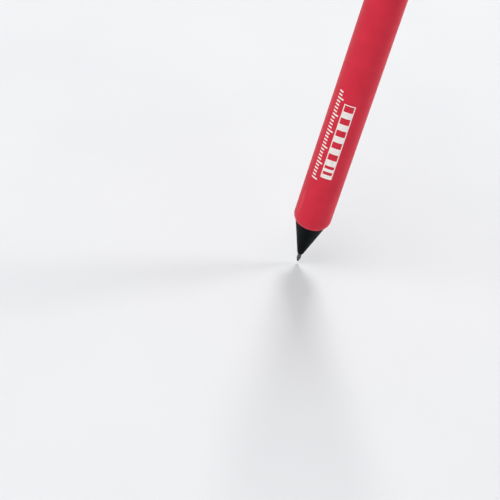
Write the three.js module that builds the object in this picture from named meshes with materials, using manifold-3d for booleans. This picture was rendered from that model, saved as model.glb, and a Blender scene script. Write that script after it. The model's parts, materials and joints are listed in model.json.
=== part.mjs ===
// Push-button lead holder for fine 0.5 mm drawing leads.
//
// A straight round plastic barrel with a screwed conical nose, a slim steel guide pipe at the point,
// a three-jaw spring chuck worked by a push button, a pocket clip, and an eraser under the button's cap.
//
// Frame: millimetres. +Z runs up the axis, from the writing point to the top of the push button.
// The origin is the writing point, the end of the lead. The clip is on the -Y side.

import * as THREE from "three";
import { mergeVertices } from "three/addons/utils/BufferGeometryUtils.js";
import Module from "manifold-3d";

const wasm = await Module();
wasm.setup();

// ---------------------------------------------------------------- driving dimensions

const OVERALL_LENGTH = 142;
const BARREL_RADIUS = 4.1;
const LEAD_RADIUS = 0.25;
const STROKE = 3.5; // how far the push button travels
const JAW_COUNT = 3;
const SPARE_LEAD_COUNT = 3;

const SLIDE_GAP = 0.1; // radial clearance round pieces that slide
const FIT_GAP = 0.05; // clearance between pieces that are fixed together
const OUTER_SIDES = 36; // facets round the pieces that show
const INNER_SIDES = 24; // facets round the pieces inside
const WIRE_SIDES = 12; // facets round leads, pin and guide pipe

// ---------------------------------------------------------------- nose cone and its thread

const NOSE_FRONT_Z = 2.2;
const NOSE_FRONT_RADIUS = 0.66; // only just wider than the guide pipe
const NOSE_BASE_RADIUS = 3.42; // flush with the end of the barrel's round shoulder
const NOSE_TOP_Z = 18.9;
const SPIGOT_RADIUS = 2.68; // root of the male thread
const SPIGOT_BORE = 2.15;
const CHUCK_CAVITY_RADIUS = 1.95;
const CHUCK_CAVITY_Z = 8.6;
const RING_STOP_Z = 13.35; // step that stops the clutch ring

const THREAD_PITCH = 0.75;
const THREAD_DEPTH = 0.27;
const THREAD_ROOT_WIDTH = 0.5;
const THREAD_CREST_WIDTH = 0.2;
const THREAD_START_Z = 12.25;
const THREAD_TURNS = 4;
const THREAD_STEPS = 24; // facets in one turn

// ---------------------------------------------------------------- guide pipe and lead retainer

const PIPE_RADIUS = 0.45;
const PIPE_BORE = 0.3;
const PIPE_FRONT_Z = 0.6;
const PIPE_TOP_Z = 6;
const RETAINER_SEAT_Z = 6.1;
const RETAINER_RADIUS = 1.3;
const RETAINER_TOP_Z = 8.5;

// ---------------------------------------------------------------- barrel

const BARREL_FRONT_Z = 11.1;
const BARREL_TOP_Z = 122;
const SHOULDER_RADIUS = 2.3; // round of the barrel's front end
const SHOULDER_SWEEP = Math.PI / 4;
const FRONT_BORE = SPIGOT_RADIUS + SLIDE_GAP;
const RIB_BORE = 2.5; // inner rib that the chuck housing is clamped against
const RIB_Z = 20.3;
const RIB_HEIGHT = 1.7;
const MAIN_BORE = 3;
const COLLAR_SEAT_Z = 114;
const COLLAR_SEAT_BORE = 3.47;

// ---------------------------------------------------------------- top collar and clip

const COLLAR_TOP_Z = 131.5;
const COLLAR_BORE = 3.02;
const CLIP_ROOT_Z = 126.7;
const CLIP_FOOT_Z = 96.5;
const CLIP_END_Z = 92.5;
const CLIP_THICKNESS = 0.55;
const CLIP_ROOT_WIDTH = 3.2;
const CLIP_END_WIDTH = 2.3;
const CLIP_STANDOFF = 6.1; // distance of the strip's middle from the axis, below its top bend
const CLIP_SLOT_GAP = 0.28;
const CLIP_SLOT_FLOOR = 3.4; // distance of the slot's floor from the axis

// ---------------------------------------------------------------- chuck, clutch ring, housing and spring

const JAW_FRONT_Z = 12.6;
const JAW_HEAD_RADIUS = 1.55;
const JAW_HEAD_BACK_Z = 14.4; // where the head's clamping taper starts
const JAW_SHANK_Z = 16.5; // where the taper meets the slim shank
const JAW_SHANK_RADIUS = 0.95;
const JAW_ROOT_Z = 24;
const JAW_GRIP_BORE = LEAD_RADIUS + 0.02;
const JAW_BACK_BORE = 0.45;
const SLIT_WIDTH = 0.24; // gap between neighbouring jaws
const STEM_TOP_Z = 32;
const STEM_RADIUS = 1;
const ROOT_GAP = 0.15; // between the jaws' roots and the stem

const RING_FRONT_Z = 14;
const RING_TOP_Z = 16.5;
const RING_RADIUS = 2.05;
const RING_BACK_BORE = 1.25;

const HOUSING_FRONT_Z = 16.6;
const HOUSING_LEDGE_Z = 18.4; // the spring's seat
const HOUSING_LEDGE_BORE = 1.25;
const HOUSING_BORE = 1.75;
const HOUSING_FLANGE_Z = 19.1;
const HOUSING_FLANGE_HEIGHT = 1;
const HOUSING_RADIUS = 2.3;
const HOUSING_TOP_Z = 30;

const SPRING_MEAN_RADIUS = 1.425;
const SPRING_WIRE_RADIUS = 0.175;
const SPRING_TURNS = 9;
const SPRING_STEPS = 12; // facets in one turn
const SPRING_END_GAP = 0.03;

// ---------------------------------------------------------------- coupler, lead tube and spare leads

const COUPLER_FRONT_Z = 27;
const COUPLER_FLANGE_HEIGHT = 1;
const COUPLER_FLANGE_RADIUS = HOUSING_BORE - SLIDE_GAP;
const COUPLER_NECK_RADIUS = 1.5;
const COUPLER_SHOULDER_Z = HOUSING_TOP_Z + STROKE + 0.2; // meets the housing at the end of the stroke
const COUPLER_TOP_Z = 38.9;
const FUNNEL_Z = 36;
const LEAD_PASSAGE = 0.35;
const TUBE_RADIUS = 2;
const TUBE_BORE = 1.5;
const TUBE_FRONT_Z = 34.6;
const TUBE_TOP_Z = 124;
const WRITING_LEAD_LENGTH = 50;
const SPARE_LEAD_LENGTH = 60;
const SPARE_LEAD_FRONT_Z = 38.7;
const SPARE_LEAD_OFFSET = 0.85;

// ---------------------------------------------------------------- eraser, its holder, pin and the push cap

const HOLDER_FRONT_Z = 117.5;
const HOLDER_TOP_Z = 134;
const HOLDER_RADIUS = 2.38;
const HOLDER_WEB_Z = 124.1;
const HOLDER_WEB_HEIGHT = 0.4;
const HOLDER_BORE = 2.16;
const ERASER_RADIUS = 2.1;
const ERASER_FRONT_Z = 124.6;
const ERASER_TOP_Z = 139.2;
const PIN_RADIUS = 0.2;
const PIN_FRONT_Z = 103;
const PIN_TOP_Z = 128.8;
const CAP_FRONT_Z = 125;
const CAP_RADIUS = 2.9;
const CAP_BORE = HOLDER_RADIUS + SLIDE_GAP;
const CAP_HEAD_RADIUS = 3.3;
const CAP_HEAD_Z = 135.8;
const CAP_ROOF_Z = 140.4;

// ---------------------------------------------------------------- finishes

const finish = (color, roughness, metalness = 0) =>
  new THREE.MeshStandardMaterial({ color, roughness, metalness });

const FINISHES = {
  barrel_red: finish(0xc7364a, 0.5),
  trim_black: finish(0x14191a, 0.45),
  steel: finish(0xb9bcbe, 0.3, 1),
  brass: finish(0xc8a35a, 0.35, 1),
  nickel: finish(0xcfd2d4, 0.2, 1),
  housing_grey: finish(0x8f9496, 0.5),
  tube_clear: finish(0xdfe3e2, 0.35),
  rubber: finish(0x2a2a2b, 0.85),
  eraser_white: finish(0xf1efe9, 0.85),
  graphite: finish(0x3a3b3e, 0.45, 0.3),
};

// ---------------------------------------------------------------- solids

// A closed mesh as a solid that can be cut and joined.
function solid(geometry) {
  const bare = geometry.index ? geometry.toNonIndexed() : geometry.clone();
  bare.deleteAttribute("normal");
  bare.deleteAttribute("uv");
  const merged = mergeVertices(bare, 1e-4);
  return new wasm.Manifold(
    new wasm.Mesh({
      numProp: 3,
      vertProperties: merged.attributes.position.array,
      triVerts: new Uint32Array(merged.index.array),
    }),
  );
}

function geometryOf(shape) {
  const mesh = shape.getMesh();
  return new THREE.BufferGeometry()
    .setAttribute("position", new THREE.BufferAttribute(mesh.vertProperties, 3))
    .setIndex(new THREE.BufferAttribute(mesh.triVerts, 1));
}

// A body of revolution about Z. The outline is [radius, height] pairs that run up the outside and down
// the inside; one that leaves the axis is closed on itself.
function turned(outline, sides) {
  const points = outline.map(([radius, height]) => new THREE.Vector2(radius, height));
  if (points[0].x > 0) points.push(points[0].clone());
  return new THREE.LatheGeometry(points, sides).rotateX(Math.PI / 2);
}

// A straight tube or rod between two heights.
function tube(radius, bore, bottom, top, sides) {
  const outside = [
    [radius, bottom],
    [radius, top],
  ];
  const inside = [
    [bore, top],
    [bore, bottom],
  ];
  return turned([...outside, ...inside], sides);
}

function rod(radius, bottom, top, sides) {
  const outline = [
    [0, bottom],
    [radius, bottom],
    [radius, top],
    [0, top],
  ];
  return turned(outline, sides);
}

// A section wound into a helix about Z: the section's x is height, its y is distance from the axis.
function wound(section, startHeight, pitch, turns, stepsPerTurn) {
  const geometry = new THREE.ExtrudeGeometry(section, {
    depth: turns * 2 * Math.PI,
    steps: Math.round(turns * stepsPerTurn),
    bevelEnabled: false,
    curveSegments: 3,
  });
  const place = geometry.getAttribute("position");
  for (let i = 0; i < place.count; i++) {
    const [height, radius, turn] = [place.getX(i), place.getY(i), place.getZ(i)];
    const climb = startHeight + (pitch * turn) / (2 * Math.PI);
    const angle = turn + Math.PI / stepsPerTurn; // the ends fall between the facets of a turned piece
    place.setXYZ(i, radius * Math.cos(angle), radius * Math.sin(angle), height + climb);
  }
  return geometry;
}

// The trapezoid of one thread turn, from inside the root to the crest, grown by a clearance.
function threadSection(footRadius, crestRadius, clearance) {
  const foot = THREAD_ROOT_WIDTH / 2 + clearance;
  const crest = THREAD_CREST_WIDTH / 2 + clearance;
  return new THREE.Shape([
    new THREE.Vector2(-foot, footRadius),
    new THREE.Vector2(foot, footRadius),
    new THREE.Vector2(crest, crestRadius),
    new THREE.Vector2(-crest, crestRadius),
  ]);
}

// Points of a circular arc in the [radius, height] plane.
function arc(centre, size, from, to, steps) {
  return Array.from({ length: steps + 1 }, (_, i) => {
    const angle = from + ((to - from) * i) / steps;
    return [centre[0] + size * Math.cos(angle), centre[1] + size * Math.sin(angle)];
  });
}

const holder = new THREE.Group();
holder.name = "lead_holder";

function add(name, geometry, finishName) {
  const mesh = new THREE.Mesh(geometry, FINISHES[finishName]);
  mesh.name = name;
  holder.add(mesh);
}

// ---------------------------------------------------------------- nose

function noseCone() {
  const edge = 0.06;
  const body = turned(
    [
      [NOSE_FRONT_RADIUS - edge, NOSE_FRONT_Z],
      [NOSE_FRONT_RADIUS, NOSE_FRONT_Z + edge],
      [NOSE_BASE_RADIUS, BARREL_FRONT_Z - FIT_GAP],
      [SPIGOT_RADIUS, BARREL_FRONT_Z - FIT_GAP],
      [SPIGOT_RADIUS, NOSE_TOP_Z - 0.2],
      [SPIGOT_RADIUS - 0.2, NOSE_TOP_Z],
      [SPIGOT_BORE, NOSE_TOP_Z],
      [SPIGOT_BORE, RING_STOP_Z],
      [CHUCK_CAVITY_RADIUS, RING_STOP_Z],
      [CHUCK_CAVITY_RADIUS, CHUCK_CAVITY_Z],
      [RETAINER_RADIUS + FIT_GAP, CHUCK_CAVITY_Z],
      [RETAINER_RADIUS + FIT_GAP, RETAINER_SEAT_Z],
      [PIPE_RADIUS + FIT_GAP, RETAINER_SEAT_Z],
      [PIPE_RADIUS + FIT_GAP, NOSE_FRONT_Z],
    ],
    OUTER_SIDES,
  );
  const section = threadSection(SPIGOT_RADIUS - 0.15, SPIGOT_RADIUS + THREAD_DEPTH, 0);
  const thread = wound(section, THREAD_START_Z, THREAD_PITCH, THREAD_TURNS, THREAD_STEPS);
  return geometryOf(solid(body).add(solid(thread)));
}

function guidePipe() {
  const edge = 0.08;
  return turned(
    [
      [PIPE_RADIUS - edge, PIPE_FRONT_Z],
      [PIPE_RADIUS, PIPE_FRONT_Z + edge],
      [PIPE_RADIUS, PIPE_TOP_Z],
      [PIPE_BORE, PIPE_TOP_Z],
      [PIPE_BORE, PIPE_FRONT_Z],
    ],
    WIRE_SIDES,
  );
}

function leadRetainer() {
  const grip = LEAD_RADIUS + 0.03;
  return turned(
    [
      [RETAINER_RADIUS, RETAINER_SEAT_Z + FIT_GAP],
      [RETAINER_RADIUS, RETAINER_TOP_Z],
      [0.8, RETAINER_TOP_Z],
      [grip, RETAINER_TOP_Z - 0.8],
      [grip, RETAINER_SEAT_Z + FIT_GAP],
    ],
    INNER_SIDES,
  );
}

// ---------------------------------------------------------------- barrel

function barrel() {
  const centre = [BARREL_RADIUS - SHOULDER_RADIUS, BARREL_FRONT_Z + SHOULDER_RADIUS * Math.sin(SHOULDER_SWEEP)];
  const shoulder = arc(centre, SHOULDER_RADIUS, -SHOULDER_SWEEP, 0, 5);
  const edge = 0.12;
  const body = turned(
    [
      ...shoulder,
      [BARREL_RADIUS, BARREL_TOP_Z - edge],
      [BARREL_RADIUS - edge, BARREL_TOP_Z],
      [COLLAR_SEAT_BORE, BARREL_TOP_Z],
      [COLLAR_SEAT_BORE, COLLAR_SEAT_Z],
      [MAIN_BORE, COLLAR_SEAT_Z],
      [MAIN_BORE, RIB_Z + RIB_HEIGHT],
      [RIB_BORE, RIB_Z + RIB_HEIGHT],
      [RIB_BORE, RIB_Z],
      [FRONT_BORE, RIB_Z],
      [FRONT_BORE, BARREL_FRONT_Z],
    ],
    OUTER_SIDES,
  );
  const leadIn = 2; // turns of the groove below the male thread, so that it opens at the barrel's mouth
  const runOut = 0.75;
  const crest = SPIGOT_RADIUS + THREAD_DEPTH + SLIDE_GAP;
  const groove = wound(
    threadSection(FRONT_BORE - 0.2, crest, 0.08),
    THREAD_START_Z - leadIn * THREAD_PITCH,
    THREAD_PITCH,
    leadIn + THREAD_TURNS + runOut,
    THREAD_STEPS,
  );
  return geometryOf(solid(body).subtract(solid(groove)));
}

// ---------------------------------------------------------------- top collar and clip

function topCollar() {
  const edge = 0.5;
  const spigot = COLLAR_SEAT_BORE - FIT_GAP;
  const body = turned(
    [
      [spigot, COLLAR_SEAT_Z + 0.2],
      [spigot, BARREL_TOP_Z + FIT_GAP],
      [BARREL_RADIUS, BARREL_TOP_Z + FIT_GAP],
      ...arc([BARREL_RADIUS - edge, COLLAR_TOP_Z - edge], edge, 0, Math.PI / 2, 3),
      [COLLAR_BORE, COLLAR_TOP_Z],
      [COLLAR_BORE, COLLAR_SEAT_Z + 0.2],
    ],
    OUTER_SIDES,
  );
  const slotWidth = CLIP_ROOT_WIDTH + CLIP_SLOT_GAP;
  const slotDepth = BARREL_RADIUS + 0.3 - CLIP_SLOT_FLOOR;
  const slotHeight = CLIP_THICKNESS + 2 * CLIP_SLOT_GAP;
  const slot = new THREE.BoxGeometry(slotWidth, slotDepth, slotHeight).translate(
    0,
    -(CLIP_SLOT_FLOOR + slotDepth / 2),
    CLIP_ROOT_Z,
  );
  return geometryOf(solid(body).subtract(solid(slot)));
}

// The clip is a sprung strip. Its middle line is drawn as [distance from the axis, height].
function clip() {
  const touch = BARREL_RADIUS + 0.1 + CLIP_THICKNESS / 2;
  const bend = 1.1;
  const line = new THREE.Path();
  line.moveTo(CLIP_SLOT_FLOOR + 0.15, CLIP_ROOT_Z);
  line.lineTo(CLIP_STANDOFF - bend, CLIP_ROOT_Z);
  line.absarc(CLIP_STANDOFF - bend, CLIP_ROOT_Z - bend, bend, Math.PI / 2, 0, true);
  line.lineTo(CLIP_STANDOFF - 0.3, CLIP_FOOT_Z + 6);
  line.quadraticCurveTo(touch + 0.2, CLIP_FOOT_Z + 2.4, touch, CLIP_FOOT_Z);
  line.quadraticCurveTo(touch, CLIP_END_Z + 1.6, touch + 1.1, CLIP_END_Z);
  const middle = line.getPoints(6).filter((p, i, all) => i === 0 || p.distanceTo(all[i - 1]) > 1e-3);

  const side = (sign) =>
    middle.map((p, i) => {
      const along = middle[Math.min(i + 1, middle.length - 1)].clone().sub(middle[Math.max(i - 1, 0)]);
      const across = new THREE.Vector2(-along.y, along.x).normalize();
      return p.clone().addScaledVector(across, (sign * CLIP_THICKNESS) / 2);
    });
  const outline = new THREE.Shape([...side(1), ...side(-1).reverse()]);
  const strip = new THREE.ExtrudeGeometry(outline, { depth: CLIP_ROOT_WIDTH, steps: 1, bevelEnabled: false });
  strip.translate(0, 0, -CLIP_ROOT_WIDTH / 2);
  const [outwards, up, sideways] = [[0, -1, 0], [0, 0, 1], [-1, 0, 0]].map((v) => new THREE.Vector3(...v));
  strip.applyMatrix4(new THREE.Matrix4().makeBasis(outwards, up, sideways));

  const place = strip.getAttribute("position");
  for (let i = 0; i < place.count; i++) {
    const share = THREE.MathUtils.clamp((CLIP_ROOT_Z - 2 - place.getZ(i)) / (CLIP_ROOT_Z - 2 - CLIP_END_Z), 0, 1);
    const width = THREE.MathUtils.lerp(CLIP_ROOT_WIDTH, CLIP_END_WIDTH, share);
    place.setX(i, (place.getX(i) * width) / CLIP_ROOT_WIDTH);
  }
  return strip;
}

// ---------------------------------------------------------------- chuck mechanism

// One third of the split chuck, whose middle is at the given angle.
function jaw(angle) {
  const whole = turned(
    [
      [JAW_GRIP_BORE, JAW_FRONT_Z],
      [JAW_HEAD_RADIUS - 0.3, JAW_FRONT_Z],
      [JAW_HEAD_RADIUS, JAW_FRONT_Z + 0.5],
      [JAW_HEAD_RADIUS, JAW_HEAD_BACK_Z],
      [JAW_SHANK_RADIUS, JAW_SHANK_Z],
      [JAW_SHANK_RADIUS, JAW_ROOT_Z],
      [JAW_BACK_BORE, JAW_ROOT_Z],
      [JAW_BACK_BORE, JAW_HEAD_BACK_Z + 0.6],
      [JAW_GRIP_BORE, JAW_HEAD_BACK_Z + 0.2],
    ],
    INNER_SIDES,
  );
  const half = Math.PI / JAW_COUNT;
  const reach = 2 * JAW_HEAD_RADIUS + 1;
  const tip = new THREE.Vector2(Math.cos(angle), Math.sin(angle)).multiplyScalar(SLIT_WIDTH / 2 / Math.sin(half));
  const edge = (turn) =>
    tip.clone().add(new THREE.Vector2(Math.cos(angle + turn), Math.sin(angle + turn)).multiplyScalar(reach));
  const height = JAW_ROOT_Z - JAW_FRONT_Z + 2;
  const wedge = new THREE.ExtrudeGeometry(new THREE.Shape([tip, edge(-half), edge(half)]), {
    depth: height,
    bevelEnabled: false,
  }).translate(0, 0, JAW_FRONT_Z - 1);
  return geometryOf(solid(whole).intersect(solid(wedge)));
}

function clutchRing() {
  const gap = 0.06;
  const slope = (JAW_HEAD_RADIUS - JAW_SHANK_RADIUS) / (JAW_SHANK_Z - JAW_HEAD_BACK_Z);
  const taperEnd = JAW_HEAD_BACK_Z + (JAW_HEAD_RADIUS + gap - RING_BACK_BORE) / slope;
  return turned(
    [
      [RING_RADIUS, RING_FRONT_Z],
      [RING_RADIUS, RING_TOP_Z],
      [RING_BACK_BORE, RING_TOP_Z],
      [RING_BACK_BORE, taperEnd],
      [JAW_HEAD_RADIUS + gap, JAW_HEAD_BACK_Z],
      [JAW_HEAD_RADIUS + gap, RING_FRONT_Z],
    ],
    INNER_SIDES,
  );
}

function chuckHousing() {
  const front = SPIGOT_BORE - FIT_GAP * 2;
  const flange = FRONT_BORE - SLIDE_GAP;
  const flangeTop = HOUSING_FLANGE_Z + HOUSING_FLANGE_HEIGHT;
  return turned(
    [
      [front, HOUSING_FRONT_Z],
      [front, HOUSING_FLANGE_Z],
      [flange, HOUSING_FLANGE_Z],
      [flange, flangeTop],
      [HOUSING_RADIUS, flangeTop],
      [HOUSING_RADIUS, HOUSING_TOP_Z],
      [HOUSING_BORE, HOUSING_TOP_Z],
      [HOUSING_BORE, HOUSING_LEDGE_Z],
      [HOUSING_LEDGE_BORE, HOUSING_LEDGE_Z],
      [HOUSING_LEDGE_BORE, HOUSING_FRONT_Z],
    ],
    INNER_SIDES,
  );
}

function returnSpring() {
  const wire = new THREE.Shape();
  wire.absarc(0, SPRING_MEAN_RADIUS, SPRING_WIRE_RADIUS, 0, 2 * Math.PI);
  const bottom = HOUSING_LEDGE_Z + SPRING_WIRE_RADIUS + SPRING_END_GAP;
  const top = COUPLER_FRONT_Z - SPRING_WIRE_RADIUS - SPRING_END_GAP;
  return wound(wire, bottom, (top - bottom) / SPRING_TURNS, SPRING_TURNS, SPRING_STEPS);
}

function chuckCoupler() {
  const flangeTop = COUPLER_FRONT_Z + COUPLER_FLANGE_HEIGHT;
  const spigot = TUBE_BORE - FIT_GAP;
  return turned(
    [
      [COUPLER_FLANGE_RADIUS, COUPLER_FRONT_Z],
      [COUPLER_FLANGE_RADIUS, flangeTop],
      [COUPLER_NECK_RADIUS, flangeTop],
      [COUPLER_NECK_RADIUS, COUPLER_SHOULDER_Z],
      [TUBE_RADIUS, COUPLER_SHOULDER_Z],
      [TUBE_RADIUS, TUBE_FRONT_Z - FIT_GAP],
      [spigot, TUBE_FRONT_Z - FIT_GAP],
      [spigot, COUPLER_TOP_Z],
      [spigot - 0.15, COUPLER_TOP_Z],
      [LEAD_PASSAGE, FUNNEL_Z],
      [LEAD_PASSAGE, STEM_TOP_Z + FIT_GAP],
      [STEM_RADIUS + FIT_GAP, STEM_TOP_Z + FIT_GAP],
      [STEM_RADIUS + FIT_GAP, COUPLER_FRONT_Z],
    ],
    INNER_SIDES,
  );
}

// ---------------------------------------------------------------- eraser end

function eraserHolder() {
  const webTop = HOLDER_WEB_Z + HOLDER_WEB_HEIGHT;
  const grip = TUBE_RADIUS + FIT_GAP;
  return turned(
    [
      [HOLDER_RADIUS, HOLDER_FRONT_Z],
      [HOLDER_RADIUS, HOLDER_TOP_Z],
      [HOLDER_BORE, HOLDER_TOP_Z],
      [HOLDER_BORE, webTop],
      [TUBE_BORE, webTop],
      [TUBE_BORE, HOLDER_WEB_Z],
      [grip, HOLDER_WEB_Z],
      [grip, HOLDER_FRONT_Z],
    ],
    INNER_SIDES,
  );
}

function eraser() {
  const edge = 0.5;
  const hole = PIN_RADIUS + FIT_GAP;
  return turned(
    [
      [ERASER_RADIUS, ERASER_FRONT_Z],
      ...arc([ERASER_RADIUS - edge, ERASER_TOP_Z - edge], edge, 0, Math.PI / 2, 3),
      [0, ERASER_TOP_Z],
      [0, PIN_TOP_Z + FIT_GAP],
      [hole, PIN_TOP_Z + FIT_GAP],
      [hole, ERASER_FRONT_Z],
    ],
    INNER_SIDES,
  );
}

function pushCap() {
  const edge = 0.7;
  return turned(
    [
      [CAP_RADIUS, CAP_FRONT_Z],
      [CAP_RADIUS, CAP_HEAD_Z],
      [CAP_HEAD_RADIUS, CAP_HEAD_Z + 0.4],
      ...arc([CAP_HEAD_RADIUS - edge, OVERALL_LENGTH - edge], edge, 0, Math.PI / 2, 4),
      [0, OVERALL_LENGTH],
      [0, CAP_ROOF_Z],
      [CAP_BORE, CAP_ROOF_Z],
      [CAP_BORE, CAP_FRONT_Z],
    ],
    OUTER_SIDES,
  );
}

// ---------------------------------------------------------------- assembly

add("nose_cone", noseCone(), "trim_black");
add("guide_pipe", guidePipe(), "steel");
add("lead_retainer", leadRetainer(), "rubber");
add("writing_lead", rod(LEAD_RADIUS, 0, WRITING_LEAD_LENGTH, WIRE_SIDES), "graphite");
add("barrel", barrel(), "barrel_red");

for (let i = 0; i < JAW_COUNT; i++) {
  add(`chuck_jaw_${i + 1}`, jaw((2 * Math.PI * i) / JAW_COUNT), "brass");
}
add("chuck_stem", tube(STEM_RADIUS, JAW_BACK_BORE, JAW_ROOT_Z + ROOT_GAP, STEM_TOP_Z, INNER_SIDES), "brass");
add("clutch_ring", clutchRing(), "brass");
add("chuck_housing", chuckHousing(), "housing_grey");
add("return_spring", returnSpring(), "steel");
add("chuck_coupler", chuckCoupler(), "housing_grey");
add("lead_tube", tube(TUBE_RADIUS, TUBE_BORE, TUBE_FRONT_Z, TUBE_TOP_Z, INNER_SIDES), "tube_clear");

for (let i = 0; i < SPARE_LEAD_COUNT; i++) {
  const angle = (2 * Math.PI * (i + 0.5)) / SPARE_LEAD_COUNT;
  const stick = rod(LEAD_RADIUS, SPARE_LEAD_FRONT_Z, SPARE_LEAD_FRONT_Z + SPARE_LEAD_LENGTH, WIRE_SIDES);
  stick.translate(SPARE_LEAD_OFFSET * Math.cos(angle), SPARE_LEAD_OFFSET * Math.sin(angle), 0);
  add(`spare_lead_${i + 1}`, stick, "graphite");
}

add("eraser_holder", eraserHolder(), "nickel");
add("eraser", eraser(), "eraser_white");
add("cleaning_pin", rod(PIN_RADIUS, PIN_FRONT_Z, PIN_TOP_Z, WIRE_SIDES), "steel");
add("push_cap", pushCap(), "trim_black");
add("top_collar", topCollar(), "trim_black");
add("clip", clip(), "nickel");

export default holder;
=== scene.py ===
"""The look of a push-button lead holder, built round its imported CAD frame.

Blender works in metres. Sizes below are in millimetres, in the CAD's own frame: +Z runs up the
axis from the writing point to the top of the push cap, and the clip is on the -Y side. An azimuth
is an angle round the axis in degrees: 0 is the clip's side (-Y), and 90 is +X.
"""
import itertools
import json
import math

import bmesh
import bpy
from mathutils import Matrix, Vector


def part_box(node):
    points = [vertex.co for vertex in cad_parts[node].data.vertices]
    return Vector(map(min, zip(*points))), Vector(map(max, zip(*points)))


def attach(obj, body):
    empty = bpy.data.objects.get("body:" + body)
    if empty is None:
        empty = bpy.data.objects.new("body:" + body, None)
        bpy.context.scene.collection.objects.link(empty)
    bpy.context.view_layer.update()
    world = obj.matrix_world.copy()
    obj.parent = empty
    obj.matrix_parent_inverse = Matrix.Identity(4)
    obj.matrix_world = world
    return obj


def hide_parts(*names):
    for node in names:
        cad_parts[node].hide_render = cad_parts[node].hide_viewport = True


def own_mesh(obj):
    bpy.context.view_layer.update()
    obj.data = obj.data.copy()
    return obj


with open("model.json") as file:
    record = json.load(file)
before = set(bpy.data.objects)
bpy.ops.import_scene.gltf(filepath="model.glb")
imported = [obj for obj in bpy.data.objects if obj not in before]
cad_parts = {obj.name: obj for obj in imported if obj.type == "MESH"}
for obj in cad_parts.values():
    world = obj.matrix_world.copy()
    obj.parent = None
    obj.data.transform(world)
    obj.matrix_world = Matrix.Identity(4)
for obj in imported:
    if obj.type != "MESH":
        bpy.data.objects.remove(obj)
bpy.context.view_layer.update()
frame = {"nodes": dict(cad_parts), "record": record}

RECORD = frame["record"]
BODY_OF = {node: body for body, nodes in RECORD["behaviour"]["bodies"].items() for node in nodes}
SLOT_OF = {part["node"]: part["material_slot"] for part in RECORD["subparts"]}
MM = 0.001

# ---------------------------------------------------------------- sizes beside the CAD boxes

SIDES = 160  # facets round the pieces that show
MIDDLE_SIDES = 96  # facets round the eraser and its holder
FINE_SIDES = 64  # facets round the small and hidden pieces
WIRE_SIDES = 32  # facets round the spare leads and the cleaning pin
EASE_STEPS = 5  # stretches in a rounded corner
EASE_SHARE = 0.45  # most of a stretch that the rounding of one corner takes
SUPPORT = 0.06  # distance of the extra ring that keeps a long face's shading straight
FIT_GAP = 0.05  # between two pieces that fit together

NOSE_FRONT_RADIUS = 0.66
SPIGOT_RADIUS, SPIGOT_BORE = 2.68, 2.15
CHUCK_CAVITY_RADIUS, CHUCK_CAVITY_Z, RING_STOP_Z = 1.95, 8.6, 13.35
PIPE_BORE = 0.3
BUSH_BORE, BUSH_FUNNEL_RADIUS, BUSH_FUNNEL_DEPTH = 0.28, 0.8, 0.8
LEAD_TIP_SHARE, LEAD_TIP_LENGTH = 0.72, 0.09  # the worn tip of the writing lead

THREAD_PITCH, THREAD_DEPTH = 0.75, 0.27
THREAD_ROOT_WIDTH, THREAD_CREST_WIDTH, THREAD_CREST_EASE = 0.5, 0.2, 0.03
THREAD_START_Z, THREAD_TURNS = 12.25, 4
THREAD_SUNK = 0.05  # the thread's root lies this far inside the spigot

SHOULDER_RADIUS, SHOULDER_SWEEP = 2.3, math.radians(45)
FRONT_BORE, MAIN_BORE, COLLAR_SEAT_BORE = 2.78, 3.0, 3.47
RIB_BORE, RIB_Z, RIB_TOP_Z, COLLAR_SEAT_Z = 2.5, 20.3, 22.0, 114.0
COLLAR_BORE = 3.02

CLIP_ROOT_Z, CLIP_FOOT_Z, CLIP_END_Z = 126.7, 96.5, 92.5
CLIP_THICKNESS, CLIP_ROOT_WIDTH, CLIP_END_WIDTH = 0.55, 3.2, 2.3
CLIP_STANDOFF, CLIP_BEND, CLIP_LEAN = 6.1, 1.1, 0.3
CLIP_SLOT_GAP, CLIP_SLOT_FLOOR = 0.28, 3.4
CLIP_EDGE = 0.13  # radius of the strip's long edges

JAW_HEAD_RADIUS, JAW_BACK_Z = 1.61, 14.4
JAW_SHANK_RADIUS, JAW_SHANK_Z = 1.25, 15.66
HOUSING_RADIUS, HOUSING_BORE, HOUSING_SPRING_BORE, SPRING_SEAT_Z = 2.05, 1.25, 1.75, 18.4
FLANGE_Z, FLANGE_TOP_Z, HOUSING_NECK_RADIUS = 19.1, 20.1, 2.3
STEM_BORE = 0.45
COUPLER_SPIGOT_RADIUS, COUPLER_BEAD_RADIUS, COUPLER_BEAD_HEIGHT = 1.5, 1.65, 1.0
COUPLER_STEM_BORE, COUPLER_STEM_Z, COUPLER_FLANGE_Z = 1.05, 32.05, 33.7
COUPLER_LEAD_BORE, COUPLER_FUNNEL_Z, COUPLER_RIM = 0.35, 36.0, 0.2
SPRING_MEAN_RADIUS, SPRING_WIRE_RADIUS, SPRING_TURNS = 1.425, 0.175, 9
TUBE_BORE = 1.5

ERASER_SEAT_RADIUS, ERASER_SEAT_Z = 2.16, 124.5
CAP_BORE, CAP_CEILING_Z = 2.48, 140.4
CAP_SKIRT_RADIUS, CAP_SKIRT_Z, CAP_HEAD_Z = 2.9, 135.8, 136.2

PRINT_AZIMUTH = 15.0
CAMERA_AZIMUTH = PRINT_AZIMUTH  # the camera faces the print
FLOOR_Z = -0.65  # just under the lead's end when the button has fed it out


def span(node):
    """Bottom, top and outer radius of a round CAD node."""
    low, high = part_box(node)
    return low.z / MM, high.z / MM, (high.x - low.x) / 2 / MM


# ---------------------------------------------------------------- meshes


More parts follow.
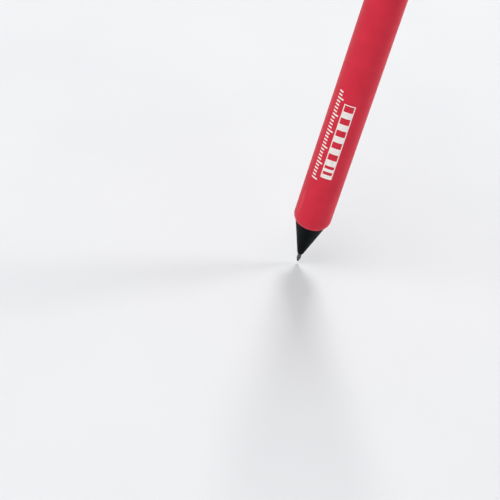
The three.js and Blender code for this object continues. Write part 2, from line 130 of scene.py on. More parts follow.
def eased(profile, closed=True):
    """The profile with each corner that has a third value rounded by about that much."""
    out, count = [], len(profile)
    for i, (radius, height, *ease) in enumerate(profile):
        here = Vector((radius, height))
        if not ease or (not closed and i in (0, count - 1)):
            out.append((radius, height))
            continue
        before = Vector(profile[i - 1][:2]) - here
        after = Vector(profile[(i + 1) % count][:2]) - here
        start = here + before.normalized() * min(ease[0], before.length * EASE_SHARE)
        end = here + after.normalized() * min(ease[0], after.length * EASE_SHARE)
        for k in range(EASE_STEPS + 1):
            t = k / EASE_STEPS
            point = start * (1 - t) ** 2 + here * 2 * t * (1 - t) + end * t**2
            out.append((point.x, point.y))
    return out


def supported(profile, closed=True):
    """The profile with an extra point just inside both ends of each long stretch."""
    out, count = [], len(profile)
    for i, (radius, height) in enumerate(profile):
        out.append((radius, height))
        if not closed and i == count - 1:
            continue
        here, there = Vector((radius, height)), Vector(profile[(i + 1) % count])
        step = there - here
        if step.length > 8 * SUPPORT:
            inset = step.normalized() * SUPPORT
            out += [tuple(here + inset), tuple(there - inset)]
    return out


def polar(radius, turn, height):
    """The point at that radius and height, turned round the axis by an angle in radians."""
    return radius * math.cos(turn), radius * math.sin(turn), height


def revolved(profile, sides):
    """Vertices and faces of a body of revolution. The profile runs up the outside and down the
    inside; it is closed on itself, or starts and ends on the axis."""
    closed = profile[0][0] > 0
    outline = supported(eased(profile, closed), closed)
    verts, faces, rings = [], [], []
    for radius, height in outline:
        around = 1 if radius < 1e-6 else sides
        rings.append([len(verts) + i for i in range(around)])
        verts += [polar(radius, 2 * math.pi * i / sides, height) for i in range(around)]
    above = rings[1:] + rings[:1] if closed else rings[1:]
    for low, high in zip(rings, above):
        for i in range(sides):
            j = (i + 1) % sides
            below = [low[i % len(low)], low[j % len(low)]]
            over = [high[j % len(high)], high[i % len(high)]]
            corners = list(dict.fromkeys(below + over))
            if len(corners) > 2:
                faces.append(corners)
    return verts, faces


def swept(sections, capped=True):
    """Vertices and faces of a skin over equal closed sections, each a list of points."""
    size = len(sections[0])
    verts = [point for section in sections for point in section]
    faces = []
    for k in range(len(sections) - 1):
        for i in range(size):
            j = (i + 1) % size
            faces.append([k * size + i, k * size + j, (k + 1) * size + j, (k + 1) * size + i])
    if capped:
        faces.append(list(range(size))[::-1])
        faces.append([len(verts) - size + i for i in range(size)])
    return verts, faces


def build(name, shape, material, sharp_degrees=32):
    """A mesh object from vertices and faces in millimetres, smooth except over sharp edges."""
    verts, faces = shape
    mesh = bpy.data.meshes.new(name)
    mesh.from_pydata([[c * MM for c in v] for v in verts], [], faces)
    work = bmesh.new()
    work.from_mesh(mesh)
    bmesh.ops.recalc_face_normals(work, faces=work.faces)
    for face in work.faces:
        face.smooth = True
    for edge in work.edges:
        edge.smooth = edge.calc_face_angle(0.0) < math.radians(sharp_degrees)
    work.to_mesh(mesh)
    work.free()
    mesh.materials.append(material)
    obj = bpy.data.objects.new(name, mesh)
    bpy.context.scene.collection.objects.link(obj)
    return obj


def stand_for(obj, node):
    """obj is the finer form of a CAD node: it rides on the node's body, and the node is hidden."""
    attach(obj, BODY_OF[node])
    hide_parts(node)
    return obj


def turned(name, node, profile, material, sides=SIDES):
    """A body of revolution that stands for a CAD node."""
    return stand_for(build(name, revolved(profile, sides), material), node)


def arc(centre, size, start, end, steps):
    """Points of an arc of that radius, between two angles in radians."""
    angles = [start + (end - start) * i / steps for i in range(steps + 1)]
    return [(centre[0] + size * math.cos(a), centre[1] + size * math.sin(a)) for a in angles]


# ---------------------------------------------------------------- materials


COLOUR_A, COLOUR_B, COLOUR_RESULT = 6, 7, 2  # the sockets of a Mix node that mixes colours
SCUFF_STRENGTH, SCUFF_RANGE = 0.55, (0.66, 0.74)
SCUFF_STRETCH, STREAK_STRETCH = (1, 1, 0.12), (1, 1, 0.03)


def link(tree, source, target):
    tree.links.new(source, target)


def noise(tree, scale, detail=3.0, stretch=(1, 1, 1)):
    """A noise from 0 to 1 whose scale is in cells a millimetre."""
    place = tree.nodes.new("ShaderNodeTexCoord")
    mapping = tree.nodes.new("ShaderNodeMapping")
    mapping.inputs["Scale"].default_value = [s / MM for s in stretch]
    link(tree, place.outputs["Object"], mapping.inputs["Vector"])
    node = tree.nodes.new("ShaderNodeTexNoise")
    node.inputs["Scale"].default_value = scale
    node.inputs["Detail"].default_value = detail
    link(tree, mapping.outputs["Vector"], node.inputs["Vector"])
    return node.outputs["Fac"]


def ranged(tree, value, low, high, start=0.3, end=0.7):
    """The value taken from its range start to end, to the range low to high."""
    node = tree.nodes.new("ShaderNodeMapRange")
    node.inputs["From Min"].default_value = start
    node.inputs["From Max"].default_value = end
    node.inputs["To Min"].default_value = low
    node.inputs["To Max"].default_value = high
    link(tree, value, node.inputs["Value"])
    return node.outputs["Result"]


def mixed(tree, factor, first, second):
    """Two colours mixed by a factor; either may be a colour or another mix's output."""
    node = tree.nodes.new("ShaderNodeMix")
    node.data_type = "RGBA"
    link(tree, factor, node.inputs["Factor"])
    for socket, value in ((node.inputs[COLOUR_A], first), (node.inputs[COLOUR_B], second)):
        if isinstance(value, tuple):
            socket.default_value = (*value, 1)
        else:
            link(tree, value, socket)
    return node.outputs[COLOUR_RESULT]


def bumped(tree, height, depth, under=None):
    """A normal with relief of that depth in millimetres, laid over another normal."""
    node = tree.nodes.new("ShaderNodeBump")
    node.inputs["Distance"].default_value = depth * MM
    link(tree, height, node.inputs["Height"])
    if under is not None:
        link(tree, under, node.inputs["Normal"])
    return node.outputs["Normal"]


def surface(name, colour, tint, roughness, grain, streaks=None, scuffs=None, patch=0.25, **sockets):
    """A procedural finish. colour and tint alternate in soft patches; roughness is (low, high);
    grain and streaks are (cells a mm, depth in mm), streaks running along the axis; scuffs is
    (colour, cells a mm). What is left names sockets of the shader."""
    material = bpy.data.materials.new(name)
    material.use_nodes = True
    tree = material.node_tree
    shader = tree.nodes["Principled BSDF"]
    for socket, value in sockets.items():
        shader.inputs[socket.replace("_", " ")].default_value = value

    base = mixed(tree, ranged(tree, noise(tree, patch, detail=4), 0, 1), colour, tint)
    rough = ranged(tree, noise(tree, patch * 3, detail=5), *roughness)
    if scuffs:
        mark = noise(tree, scuffs[1], detail=6, stretch=SCUFF_STRETCH)
        rare = ranged(tree, mark, 0, SCUFF_STRENGTH, *SCUFF_RANGE)
        base = mixed(tree, rare, base, scuffs[0])
    normal = bumped(tree, noise(tree, grain[0]), grain[1])
    if streaks:
        relief = noise(tree, streaks[0], stretch=STREAK_STRETCH)
        normal = bumped(tree, relief, streaks[1], normal)
    link(tree, base, shader.inputs["Base Color"])
    link(tree, rough, shader.inputs["Roughness"])
    link(tree, normal, shader.inputs["Normal"])
    return material


RED = surface(
    "satin_red_plastic",
    colour=(0.72, 0.031, 0.06),
    tint=(0.66, 0.026, 0.052),
    roughness=(0.34, 0.52),
    grain=(6, 0.006),
    streaks=(2.2, 0.004),
    scuffs=((0.86, 0.075, 0.105), 0.5),
    IOR=1.48,
    Specular_IOR_Level=0.12,
    Sheen_Weight=0.12,
    Sheen_Roughness=0.25,
    Sheen_Tint=(1.0, 0.1, 0.14, 1),
)
NOSE_BLACK = surface(
    "matt_black_plastic",
    colour=(0.0016, 0.0032, 0.0036),
    tint=(0.0032, 0.0055, 0.006),
    roughness=(0.4, 0.58),
    grain=(6, 0.006),
    streaks=(3, 0.003),
    scuffs=((0.018, 0.02, 0.021), 0.8),
    IOR=1.5,
    Specular_IOR_Level=0.04,
)
BLACK = surface(
    "black_plastic",
    colour=(0.006, 0.0075, 0.008),
    tint=(0.012, 0.014, 0.015),
    roughness=(0.26, 0.44),
    grain=(6, 0.004),
    streaks=(3, 0.002),
    scuffs=((0.05, 0.052, 0.054), 0.8),
    IOR=1.5,
    Specular_IOR_Level=0.3,
)
STEEL = surface(
    "drawn_steel",
    colour=(0.56, 0.57, 0.58),
    tint=(0.44, 0.45, 0.46),
    roughness=(0.2, 0.36),
    grain=(12, 0.001),
    streaks=(9, 0.0025),
    Metallic=1.0,
)
DARK_STEEL = surface(
    "dark_drawn_steel",
    colour=(0.15, 0.155, 0.15),
    tint=(0.085, 0.09, 0.088),
    roughness=(0.24, 0.44),
    grain=(9, 0.003),
    streaks=(6, 0.004),
    patch=1.5,
    Metallic=1.0,
)
SPRING_STEEL = surface(
    "spring_steel",
    colour=(0.42, 0.42, 0.43),
    tint=(0.33, 0.33, 0.34),
    roughness=(0.25, 0.4),
    grain=(14, 0.0012),
    Metallic=1.0,
)
BRASS = surface(
    "turned_brass",
    colour=(0.72, 0.49, 0.2),
    tint=(0.6, 0.38, 0.14),
    roughness=(0.24, 0.4),
    grain=(10, 0.0015),
    streaks=(6, 0.001),
    Metallic=1.0,
)
NICKEL = surface(
    "nickel_plate",
    colour=(0.5, 0.495, 0.48),
    tint=(0.42, 0.415, 0.4),
    roughness=(0.24, 0.36),
    grain=(8, 0.0012),
    streaks=(5, 0.0025),
    scuffs=((0.3, 0.3, 0.29), 1.2),
    Metallic=1.0,
)
GREY = surface(
    "grey_plastic",
    colour=(0.25, 0.27, 0.28),
    tint=(0.21, 0.23, 0.24),
    roughness=(0.4, 0.55),
    grain=(7, 0.004),
    IOR=1.48,
)
MILKY = surface(
    "milky_plastic",
    colour=(0.74, 0.77, 0.76),
    tint=(0.68, 0.71, 0.7),
    roughness=(0.3, 0.42),
    grain=(5, 0.002),
    streaks=(2, 0.002),
    IOR=1.5,
    Transmission_Weight=0.35,
)
RUBBER = surface(
    "soft_rubber",
    colour=(0.02, 0.02, 0.021),
    tint=(0.032, 0.032, 0.033),
    roughness=(0.7, 0.85),
    grain=(11, 0.006),
)
ERASER = surface(
    "white_eraser",
    colour=(0.86, 0.84, 0.79),
    tint=(0.8, 0.78, 0.73),
    roughness=(0.7, 0.88),
    grain=(6, 0.012),
    scuffs=((0.5, 0.49, 0.47), 1.5),
    patch=0.6,
)
GRAPHITE = surface(
    "graphite",
    colour=(0.014, 0.015, 0.017),
    tint=(0.03, 0.031, 0.034),
    roughness=(0.34, 0.52),
    grain=(16, 0.004),
    streaks=(8, 0.003),
    patch=2.0,
    Metallic=0.45,
)
INK = surface(
    "white_ink",
    colour=(0.98, 0.94, 0.9),
    tint=(0.93, 0.86, 0.82),
    roughness=(0.5, 0.65),
    grain=(9, 0.004),
    scuffs=((0.8, 0.3, 0.3), 1.6),
    patch=1.2,
)

# ---------------------------------------------------------------- nose


def nose_cone():
    """The cone with its spigot, bored for the pipe, the bush and the chuck."""
    bottom, top, base_radius = span("nose_cone")
    bush_bottom, _, bush_radius = span("lead_retainer")
    shoulder_z = span("barrel")[0] - FIT_GAP
    pipe_hole = span("guide_pipe")[2] + FIT_GAP
    bush_seat = bush_radius + FIT_GAP
    bush_seat_z = bush_bottom - FIT_GAP
    turned(
        "nose_cone_body",
        "nose_cone",
        [
            (pipe_hole, bottom),
            (NOSE_FRONT_RADIUS, bottom, 0.08),
            (base_radius, shoulder_z, 0.06),
            (SPIGOT_RADIUS, shoulder_z),
            (SPIGOT_RADIUS, top, 0.2),
            (SPIGOT_BORE, top, 0.08),
            (SPIGOT_BORE, RING_STOP_Z),
            (CHUCK_CAVITY_RADIUS, RING_STOP_Z),
            (CHUCK_CAVITY_RADIUS, CHUCK_CAVITY_Z),
            (bush_seat, CHUCK_CAVITY_Z),
            (bush_seat, bush_seat_z),
            (pipe_hole, bush_seat_z),
        ],
        NOSE_BLACK,
    )


def guide_pipe():
    bottom, top, radius = span("guide_pipe")
    profile = [(PIPE_BORE, bottom, 0.03), (radius, bottom, 0.1), (radius, top), (PIPE_BORE, top)]
    turned("guide_pipe_steel", "guide_pipe", profile, DARK_STEEL, FINE_SIDES)


def lead_retainer():
    """The rubber bush, with a funnel that takes the lead in from above."""
    bottom, top, radius = span("lead_retainer")
    turned(
        "lead_retainer_bush",
        "lead_retainer",
        [
            (radius, bottom, 0.1),
            (radius, top, 0.1),
            (BUSH_FUNNEL_RADIUS, top),
            (BUSH_BORE, top - BUSH_FUNNEL_DEPTH),
            (BUSH_BORE, bottom),
        ],
        RUBBER,
        FINE_SIDES,
    )


def nose_thread():
    """The male thread on the nose's spigot, fading in and out over a third of a turn."""
    steps_a_turn, least_fade = 72, 0.05
    count = THREAD_TURNS * steps_a_turn
    sections = []
    for k in range(count + 1):
        turns = k / steps_a_turn
        fade = max(least_fade, min(1.0, 3 * turns, 3 * (THREAD_TURNS - turns)))
        crest = SPIGOT_RADIUS + THREAD_DEPTH * fade
        outline = [
            (-THREAD_ROOT_WIDTH / 2, SPIGOT_RADIUS - THREAD_SUNK),
            (THREAD_ROOT_WIDTH / 2, SPIGOT_RADIUS - THREAD_SUNK),
            (THREAD_CREST_WIDTH / 2, crest - THREAD_CREST_EASE),
            (THREAD_CREST_WIDTH / 4, crest),
            (-THREAD_CREST_WIDTH / 4, crest),
            (-THREAD_CREST_WIDTH / 2, crest - THREAD_CREST_EASE),
        ]
        rise = THREAD_START_Z + THREAD_PITCH * turns
        turn = 2 * math.pi * turns
        sections.append([polar(radius, turn, rise + height) for height, radius in outline])
    thread = build("nose_thread", swept(sections), NOSE_BLACK, sharp_degrees=40)
    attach(thread, BODY_OF["nose_cone"])


def leads():
    """The writing lead, with a worn tip, and the spare leads beside the axis."""
    bottom, top, radius = span("writing_lead")
    turned(
        "writing_lead_stick",
        "writing_lead",
        [
            (0, bottom),
            (radius * LEAD_TIP_SHARE, bottom),
            (radius, bottom + LEAD_TIP_LENGTH),
            (radius, top, 0.03),
            (0, top),
        ],
        GRAPHITE,
        FINE_SIDES,
    )
    for node in sorted(n for n in SLOT_OF if n.startswith("spare_lead")):
        low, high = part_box(node)
        middle = (low + high) / 2 / MM
        bottom, top = low.z / MM, high.z / MM
        profile = [(0, bottom), (radius, bottom, 0.04), (radius, top, 0.04), (0, top)]
        verts, faces = revolved(profile, WIRE_SIDES)
        verts = [(x + middle.x, y + middle.y, z) for x, y, z in verts]
        stand_for(build(node + "_stick", (verts, faces), GRAPHITE), node)


# ---------------------------------------------------------------- barrel and its print


def barrel():
    """The tube: a rounded front, a rib for the chuck housing and a seat for the collar."""
    bottom, top, radius = span("barrel")
    centre = (radius - SHOULDER_RADIUS, bottom + SHOULDER_RADIUS * math.sin(SHOULDER_SWEEP))
    turned(
        "barrel_tube",
        "barrel",
        [
            (FRONT_BORE, bottom, 0.05),
            *arc(centre, SHOULDER_RADIUS, -SHOULDER_SWEEP, 0, 14),
            (radius, top, 0.14),
            (COLLAR_SEAT_BORE, top, 0.05),
            (COLLAR_SEAT_BORE, COLLAR_SEAT_Z),
            (MAIN_BORE, COLLAR_SEAT_Z),
            (MAIN_BORE, RIB_TOP_Z),
            (RIB_BORE, RIB_TOP_Z),
            (RIB_BORE, RIB_Z),
            (FRONT_BORE, RIB_Z),
        ],
        RED,
    )


class Print:
    """White ink marks on the barrel: patches a hair proud of its surface."""

    PROUD, SUNK = 0.012, 0.02
    STEP = 2.0  # degrees between columns

    def __init__(self):
        self.radius = span("barrel")[2]
        self.verts = []
        self.faces = []

    def patch(self, z, across, length, width):
        """A patch whose corner is at height z and azimuth across, in degrees; its length runs along
        the axis and its width round the barrel."""
        sweep = math.degrees(width / self.radius)
        columns = max(1, round(sweep / self.STEP))
        first = len(self.verts)
        for i in range(columns + 1):
            turn = math.radians(across + sweep * i / columns)
            for reach in (self.radius - self.SUNK, self.radius + self.PROUD):
                for height in (z, z + length):
                    self.verts.append((reach * math.sin(turn), -reach * math.cos(turn), height))
        for i in range(columns):
            a, b = first + 4 * i, first + 4 * i + 4
            for p, q in ((2, 3), (3, 1), (1, 0), (0, 2)):
                self.faces.append([a + p, b + p, b + q, a + q])
        self.faces.append([first + k for k in (0, 2, 3, 1)])
        self.faces.append([first + 4 * columns + k for k in (1, 3, 2, 0)])

    def printed(self, name):
        """Makes the patches one piece of ink that rides with the barrel."""
        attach(build(name, (self.verts, self.faces), INK), BODY_OF["barrel"])


def scale_bar(centre, start, end, width):
    """A drafting scale bar along the barrel: an outline round filled and open cells, the lowest two
    halved."""
    marks, cells, border = Print(), 12, 0.2
    degrees = math.degrees(1 / marks.radius)
    left = centre - width / 2 * degrees
    inside = width - 2 * border
    cell = (end - start) / cells
    for i in range(2):
        marks.patch(start + i * cell, left + border * degrees, cell / 2, inside)
    for i in range(2, cells, 2):
        marks.patch(start + i * cell, left + border * degrees, cell, inside)
    for offset in (0, width - border):
        marks.patch(start, left + offset * degrees, end - start, border)
    for z in (start - border, end):
        marks.patch(z, left, border, width)
    marks.printed("scale_bar_print")


def tick_row(centre, start, end, width):
    """A row of graduation ticks along the barrel, every fifth one longer."""
    marks, pitch, line, short = Print(), 0.8, 0.34, 0.62
    left = centre - math.degrees(width / 2 / marks.radius)
    count = int((end - start) / pitch)
    for i in range(count + 1):
        reach = width if i % 5 == 0 else width * short
        marks.patch(start + i * pitch, left, line, reach)
    marks.printed("tick_row_print")


# ---------------------------------------------------------------- collar and clip


def cut_box(obj, low, high):
    """Cuts an upright box, given by two corners in millimetres, out of obj."""
    corners = list(itertools.product(*zip(low, high)))
    faces = [(0, 1, 3, 2), (4, 6, 7, 5), (0, 4, 5, 1), (2, 3, 7, 6), (0, 2, 6, 4), (1, 5, 7, 3)]
    tool = build("cutter", (corners, faces), obj.data.materials[0])
    modifier = obj.modifiers.new("slot", "BOOLEAN")
    modifier.operation = "DIFFERENCE"
    modifier.solver = "EXACT"
    modifier.object = tool
    graph = bpy.context.evaluated_depsgraph_get()
    cut = bpy.data.meshes.new_from_object(obj.evaluated_get(graph))
    obj.modifiers.clear()
    obj.data = cut
    bpy.data.objects.remove(tool)


def top_collar():
    """The collar, with the slot that the clip's root sits in."""
    bottom, top, radius = span("top_collar")
    spigot = COLLAR_SEAT_BORE - FIT_GAP
    seat_z = span("barrel")[1] + FIT_GAP
    half_width = (CLIP_ROOT_WIDTH + CLIP_SLOT_GAP) / 2
    half_height = CLIP_THICKNESS / 2 + CLIP_SLOT_GAP
    collar = build(
        "top_collar_ring",
        revolved(
            [
                (COLLAR_BORE, bottom),
                (spigot, bottom, 0.1),
                (spigot, seat_z),
                (radius, seat_z, 0.1),
                (radius, CLIP_ROOT_Z - half_height - 2 * SUPPORT),
                (radius, CLIP_ROOT_Z + half_height + 2 * SUPPORT),
                (radius, top, 0.55),
                (COLLAR_BORE, top, 0.12),
            ],
            SIDES,
        ),
        BLACK,
    )
    outside = 1.0  # how far the cut starts outside the collar
    low = (-half_width, -radius - outside, CLIP_ROOT_Z - half_height)
    high = (half_width, -CLIP_SLOT_FLOOR, CLIP_ROOT_Z + half_height)
    cut_box(collar, low, high)
    stand_for(collar, "top_collar")


def clip_line():
    """Points of the clip's middle line as (distance from the axis, height)."""
    rest_gap, root_inset, root_step = 0.1, 0.15, 0.2
    foot_rise, knee_rise, tip_rise = 6.0, 2.4, 1.6
    knee_out, tip_out = 0.2, 1.1
    touch = span("barrel")[2] + rest_gap + CLIP_THICKNESS / 2
    foot, end = Vector((touch, CLIP_FOOT_Z)), Vector((touch + tip_out, CLIP_END_Z))
    points = [(CLIP_SLOT_FLOOR + root_inset + i * root_step, CLIP_ROOT_Z) for i in range(8)]
    corner = (CLIP_STANDOFF - CLIP_BEND, CLIP_ROOT_Z - CLIP_BEND)
    points = [Vector(p) for p in points + arc(corner, CLIP_BEND, math.pi / 2, 0, 14)]
    run_start, run_end = points[-1], Vector((CLIP_STANDOFF - CLIP_LEAN, CLIP_FOOT_Z + foot_rise))
    points += [run_start.lerp(run_end, i / 24) for i in range(1, 24)]
    bows = [
        (run_end, Vector((touch + knee_out, CLIP_FOOT_Z + knee_rise)), foot),
        (foot, Vector((touch, CLIP_END_Z + tip_rise)), end),
    ]
    for first, control, last in bows:
        for i in range(16):
            t = i / 16
            points.append(first * (1 - t) ** 2 + control * 2 * t * (1 - t) + last * t**2)
    return points + [end]


def clip():
    """The strip, swept along its middle line: it narrows towards the foot and has a rounded end."""
    taper_start = CLIP_ROOT_Z - 2
    least_share = 0.45  # of the width, at the very end
    quarter_steps = 4
    line = clip_line()
    lengths = [0.0]
    for a, b in zip(line, line[1:]):
        lengths.append(lengths[-1] + (b - a).length)
    total = lengths[-1]
    depth = CLIP_THICKNESS / 2 - CLIP_EDGE
    sections = []
    for k, middle in enumerate(line):
        along = (line[min(k + 1, len(line) - 1)] - line[max(k - 1, 0)]).normalized()
        across = Vector((-along.y, along.x))
        share = min(1.0, max(0.0, (taper_start - middle.y) / (taper_start - CLIP_END_Z)))
        width = (CLIP_ROOT_WIDTH + (CLIP_END_WIDTH - CLIP_ROOT_WIDTH) * share) / 2
        left = total - lengths[k]
        if left < width:
            width *= max(least_share, math.sqrt(max(0.0, 1 - (1 - left / width) ** 2)))
        reach = width - CLIP_EDGE
        corners = ((reach, -depth), (reach, depth), (-reach, depth), (-reach, -depth))
        section = []
        for i, corner in enumerate(corners):
            start = (i - 1) * math.pi / 2
            for x, out in arc(corner, CLIP_EDGE, start, start + math.pi / 2, quarter_steps):
                point = middle + across * out
                section.append((x, -point.x, point.y))
        sections.append(section)
    stand_for(build("clip_strip", swept(sections), NICKEL, sharp_degrees=40), "clip")


# ---------------------------------------------------------------- mechanism


def clutch_ring():
    """The ring, with a cone inside that the jaws' heads bear on."""
    bottom, top, radius = span("clutch_ring")
    turned(
        "clutch_ring_brass",
        "clutch_ring",
        [
            (JAW_HEAD_RADIUS, bottom),
            (radius, bottom, 0.1),
            (radius, top, 0.1),
            (JAW_SHANK_RADIUS, top),
            (JAW_SHANK_RADIUS, JAW_SHANK_Z),
            (JAW_HEAD_RADIUS, JAW_BACK_Z),
        ],
        BRASS,
        FINE_SIDES,
    )


def chuck_housing():
    """The sleeve round the chuck, with the spring's seat inside."""
    bottom, top, flange = span("chuck_housing")
    turned(
        "chuck_housing_sleeve",
        "chuck_housing",
        [
            (HOUSING_BORE, bottom),
            (HOUSING_RADIUS, bottom, 0.1),
            (HOUSING_RADIUS, FLANGE_Z),
            (flange, FLANGE_Z, 0.08),
            (flange, FLANGE_TOP_Z, 0.08),
            (HOUSING_NECK_RADIUS, FLANGE_TOP_Z),
            (HOUSING_NECK_RADIUS, top, 0.1),
            (HOUSING_SPRING_BORE, top),
            (HOUSING_SPRING_BORE, SPRING_SEAT_Z),
            (HOUSING_BORE, SPRING_SEAT_Z),
        ],
        GREY,
        FINE_SIDES,
    )


def chuck_coupler():
    """The joint between chuck and lead tube, with a funnel that leads slide down."""
    bottom, top, flange = span("chuck_coupler")
    seat_z = span("lead_tube")[0] - FIT_GAP
    bead_top = bottom + COUPLER_BEAD_HEIGHT
    turned(
        "chuck_coupler_body",
        "chuck_coupler",
        [
            (COUPLER_STEM_BORE, bottom),
            (COUPLER_BEAD_RADIUS, bottom, 0.06),
            (COUPLER_BEAD_RADIUS, bead_top, 0.06),
            (COUPLER_SPIGOT_RADIUS, bead_top),
            (COUPLER_SPIGOT_RADIUS, COUPLER_FLANGE_Z),
            (flange, COUPLER_FLANGE_Z, 0.08),
            (flange, seat_z),
            (TUBE_BORE - FIT_GAP, seat_z),
            (TUBE_BORE - FIT_GAP, top, 0.05),
            (TUBE_BORE - COUPLER_RIM, top),
            (COUPLER_LEAD_BORE, COUPLER_FUNNEL_Z),
            (COUPLER_LEAD_BORE, COUPLER_STEM_Z),
            (COUPLER_STEM_BORE, COUPLER_STEM_Z),
        ],
        GREY,
        FINE_SIDES,
    )


def chuck_stem():
    bottom, top, radius = span("chuck_stem")
    profile = [(STEM_BORE, bottom), (radius, bottom, 0.05), (radius, top, 0.08), (STEM_BORE, top)]
    turned("chuck_stem_brass", "chuck_stem", profile, BRASS, FINE_SIDES)


def lead_tube():
    bottom, top, radius = span("lead_tube")
    profile = [(TUBE_BORE, bottom), (radius, bottom, 0.08), (radius, top, 0.1), (TUBE_BORE, top)]
    turned("lead_tube_body", "lead_tube", profile, MILKY, FINE_SIDES)


def chuck_jaws():
    """The jaws keep their CAD shape and take a better brass."""
    for node in ("chuck_jaw_1", "chuck_jaw_2", "chuck_jaw_3"):
        materials = frame["nodes"][node].data.materials
        materials.clear()
        materials.append(BRASS)


def return_spring():
    """The coil spring, which shortens by the button's stroke."""
    bottom, top, _ = span("return_spring")
    low, high = bottom + SPRING_WIRE_RADIUS, top - SPRING_WIRE_RADIUS
    steps_a_turn, around = 36, 12
    count = SPRING_TURNS * steps_a_turn
    sections = []
    for k in range(count + 1):
        turn = 2 * math.pi * k / steps_a_turn
        rise = low + (high - low) * k / count
        ring = []
        for i in range(around):
            a = 2 * math.pi * i / around
            reach = SPRING_MEAN_RADIUS + SPRING_WIRE_RADIUS * math.cos(a)
            ring.append(polar(reach, turn, rise + SPRING_WIRE_RADIUS * math.sin(a)))
        sections.append(ring)
    coil = build("return_spring_coil", swept(sections), SPRING_STEEL, sharp_degrees=50)
    spring = stand_for(coil, "return_spring")
    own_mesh(spring)


# ---------------------------------------------------------------- eraser end


def eraser_holder():
    """The sleeve on the lead tube's end, with the eraser's seat at its top."""
    bottom, top, radius = span("eraser_holder")
    tube_top, tube_radius = span("lead_tube")[1:]
    stop_z = tube_top + 2 * FIT_GAP
    turned(
        "eraser_holder_sleeve",
        "eraser_holder",
        [
            (tube_radius + FIT_GAP, bottom),
            (radius, bottom, 0.1),
            (radius, top, 0.12),
            (ERASER_SEAT_RADIUS, top, 0.08),
            (ERASER_SEAT_RADIUS, ERASER_SEAT_Z),
            (TUBE_BORE, ERASER_SEAT_Z),
            (TUBE_BORE, stop_z),
            (tube_radius + FIT_GAP, stop_z),
        ],
        NICKEL,
        MIDDLE_SIDES,
    )


def eraser():
    """The eraser, with a hole in its lower end for the cleaning pin."""
    bottom, top, radius = span("eraser")
    _, pin_top, pin_radius = span("cleaning_pin")
    hole, hole_top = pin_radius + FIT_GAP, pin_top + FIT_GAP
    turned(
        "eraser_stick",
        "eraser",
        [
            (0, hole_top),
            (hole, hole_top),
            (hole, bottom),
            (radius, bottom, 0.15),
            (radius, top, 0.55),
            (0, top),
        ],
        ERASER,
        MIDDLE_SIDES,
    )


def cleaning_pin():
    bottom, top, radius = span("cleaning_pin")
    profile = [(0, bottom), (radius, bottom, 0.08), (radius, top), (0, top)]
    turned("cleaning_pin_wire", "cleaning_pin", profile, STEEL, WIRE_SIDES)


def push_cap():
    """The cap: a shell over the eraser, with a narrow skirt that slides in the collar."""
    bottom, top, head = span("push_cap")
    turned(
        "push_cap_shell",
        "push_cap",
        [
            (0, CAP_CEILING_Z),
            (CAP_BORE, CAP_CEILING_Z, 0.1),
            (CAP_BORE, bottom, 0.06),
            (CAP_SKIRT_RADIUS, bottom, 0.12),
            (CAP_SKIRT_RADIUS, CAP_SKIRT_Z, 0.12),
            (head, CAP_HEAD_Z, 0.15),
            (head, top, 0.75),
            (0, top),
        ],
        BLACK,
    )


nose_cone()
guide_pipe()
lead_retainer()
nose_thread()
leads()
barrel()
scale_bar(centre=PRINT_AZIMUTH - 1.5, start=25.4, end=43.4, width=2.45)
tick_row(centre=PRINT_AZIMUTH - 36, start=24.0, end=46.2, width=1.5)
top_collar()
clip()
clutch_ring()
chuck_housing()
chuck_coupler()
chuck_stem()
lead_tube()
chuck_jaws()
return_spring()
eraser_holder()
eraser()
cleaning_pin()
push_cap()

# ---------------------------------------------------------------- camera

LENS, SENSOR = 117.0, 36.0
# The holder's axis and its writing point, in the camera's own frame.
UP_AXIS = Vector((0.242, 0.768, 0.593)).normalized()
POINT_SEEN = Vector((10.42, -2.28, -355.6)) * MM


def aim_camera():
    """A camera that looks down at the holder, with the point near the middle of the view and the
    axis leaning to the right."""
    right = Vector((UP_AXIS.y, -UP_AXIS.x, 0)).normalized()
    away = UP_AXIS.cross(right)
    turn = Matrix((right, away, UP_AXIS))
    turn = Matrix.Rotation(math.radians(CAMERA_AZIMUTH), 3, "Z") @ turn
    camera = bpy.data.objects.new("camera", bpy.data.cameras.new("camera"))
    camera.data.lens = LENS
    camera.data.sensor_width = SENSOR
    camera.data.clip_start, camera.data.clip_end = 0.01, 20
    camera.matrix_world = Matrix.Translation(-(turn @ POINT_SEEN)) @ turn.to_4x4()
    bpy.context.scene.collection.objects.link(camera)
    bpy.context.scene.camera = camera


aim_camera()

# ---------------------------------------------------------------- stage and light


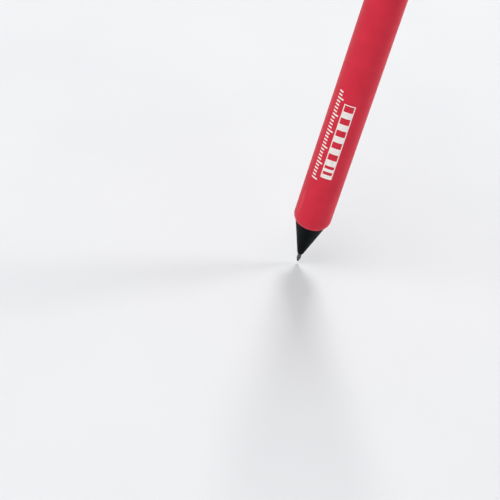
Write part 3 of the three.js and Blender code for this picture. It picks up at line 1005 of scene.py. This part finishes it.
def pale_stage():
    """A pale floor that curves up into a wall all round."""
    flat_radii, wall_radius, wall_top, cove, sides = (300, 900), 2200, 1900, 700, 96
    rings = [(radius, 0) for radius in flat_radii]
    rings += arc((wall_radius - cove, cove), cove, -math.pi / 2, 0, 16)
    rings.append((wall_radius, wall_top))
    verts, faces = [], []
    for radius, height in rings:
        verts += [polar(radius, 2 * math.pi * i / sides, height + FLOOR_Z) for i in range(sides)]
    verts.append((0, 0, FLOOR_Z))
    for i in range(sides):
        j = (i + 1) % sides
        faces.append([len(verts) - 1, i, j])
        for k in range(len(rings) - 1):
            inner, outer = k * sides, (k + 1) * sides
            faces.append([inner + i, outer + i, outer + j, inner + j])
    paper = surface(
        "pale_paper",
        colour=(0.72, 0.73, 0.74),
        tint=(0.695, 0.705, 0.715),
        roughness=(0.75, 0.9),
        grain=(3, 0.01),
        patch=0.02,
        Specular_IOR_Level=0.0,
    )
    build("stage_floor", (verts, faces), paper)


def soft_light(name, azimuth, elevation, distance, size, power, colour):
    """An area light aimed at the holder, in degrees, millimetres and watts; azimuth is measured
    from the camera's, towards the right."""
    target = Vector((0, 0, 40))
    lamp = bpy.data.lights.new(name, "AREA")
    lamp.shape = "RECTANGLE"
    lamp.size, lamp.size_y = size[0] * MM, size[1] * MM
    lamp.energy = power
    lamp.color = colour
    obj = bpy.data.objects.new(name, lamp)
    a, e = math.radians(CAMERA_AZIMUTH + azimuth), math.radians(elevation)
    back = Vector((math.sin(a) * math.cos(e), -math.cos(a) * math.cos(e), math.sin(e)))
    obj.location = (target + back * distance) * MM
    obj.rotation_mode = "QUATERNION"
    obj.rotation_quaternion = back.to_track_quat("Z", "Y")
    obj.visible_camera = False
    bpy.context.scene.collection.objects.link(obj)


pale_stage()
soft_light(
    "key_softbox",
    azimuth=-40,
    elevation=50,
    distance=1400,
    size=(1120, 1120),
    power=10.6,
    colour=(1.0, 0.985, 0.96),
)
soft_light(
    "back_softbox",
    azimuth=190,
    elevation=58,
    distance=1500,
    size=(360, 560),
    power=10.6,
    colour=(1.0, 0.985, 0.97),
)
soft_light(
    "edge_strip",
    azimuth=124,
    elevation=16,
    distance=1040,
    size=(240, 840),
    power=5.4,
    colour=(1.0, 0.97, 0.95),
)

world = bpy.data.worlds.new("soft_room")
world.use_nodes = True
background = world.node_tree.nodes["Background"]
background.inputs["Color"].default_value = (0.9, 0.93, 1.0, 1)
background.inputs["Strength"].default_value = 0.45
bpy.context.scene.world = world
bpy.context.scene.view_settings.view_transform = "Standard"
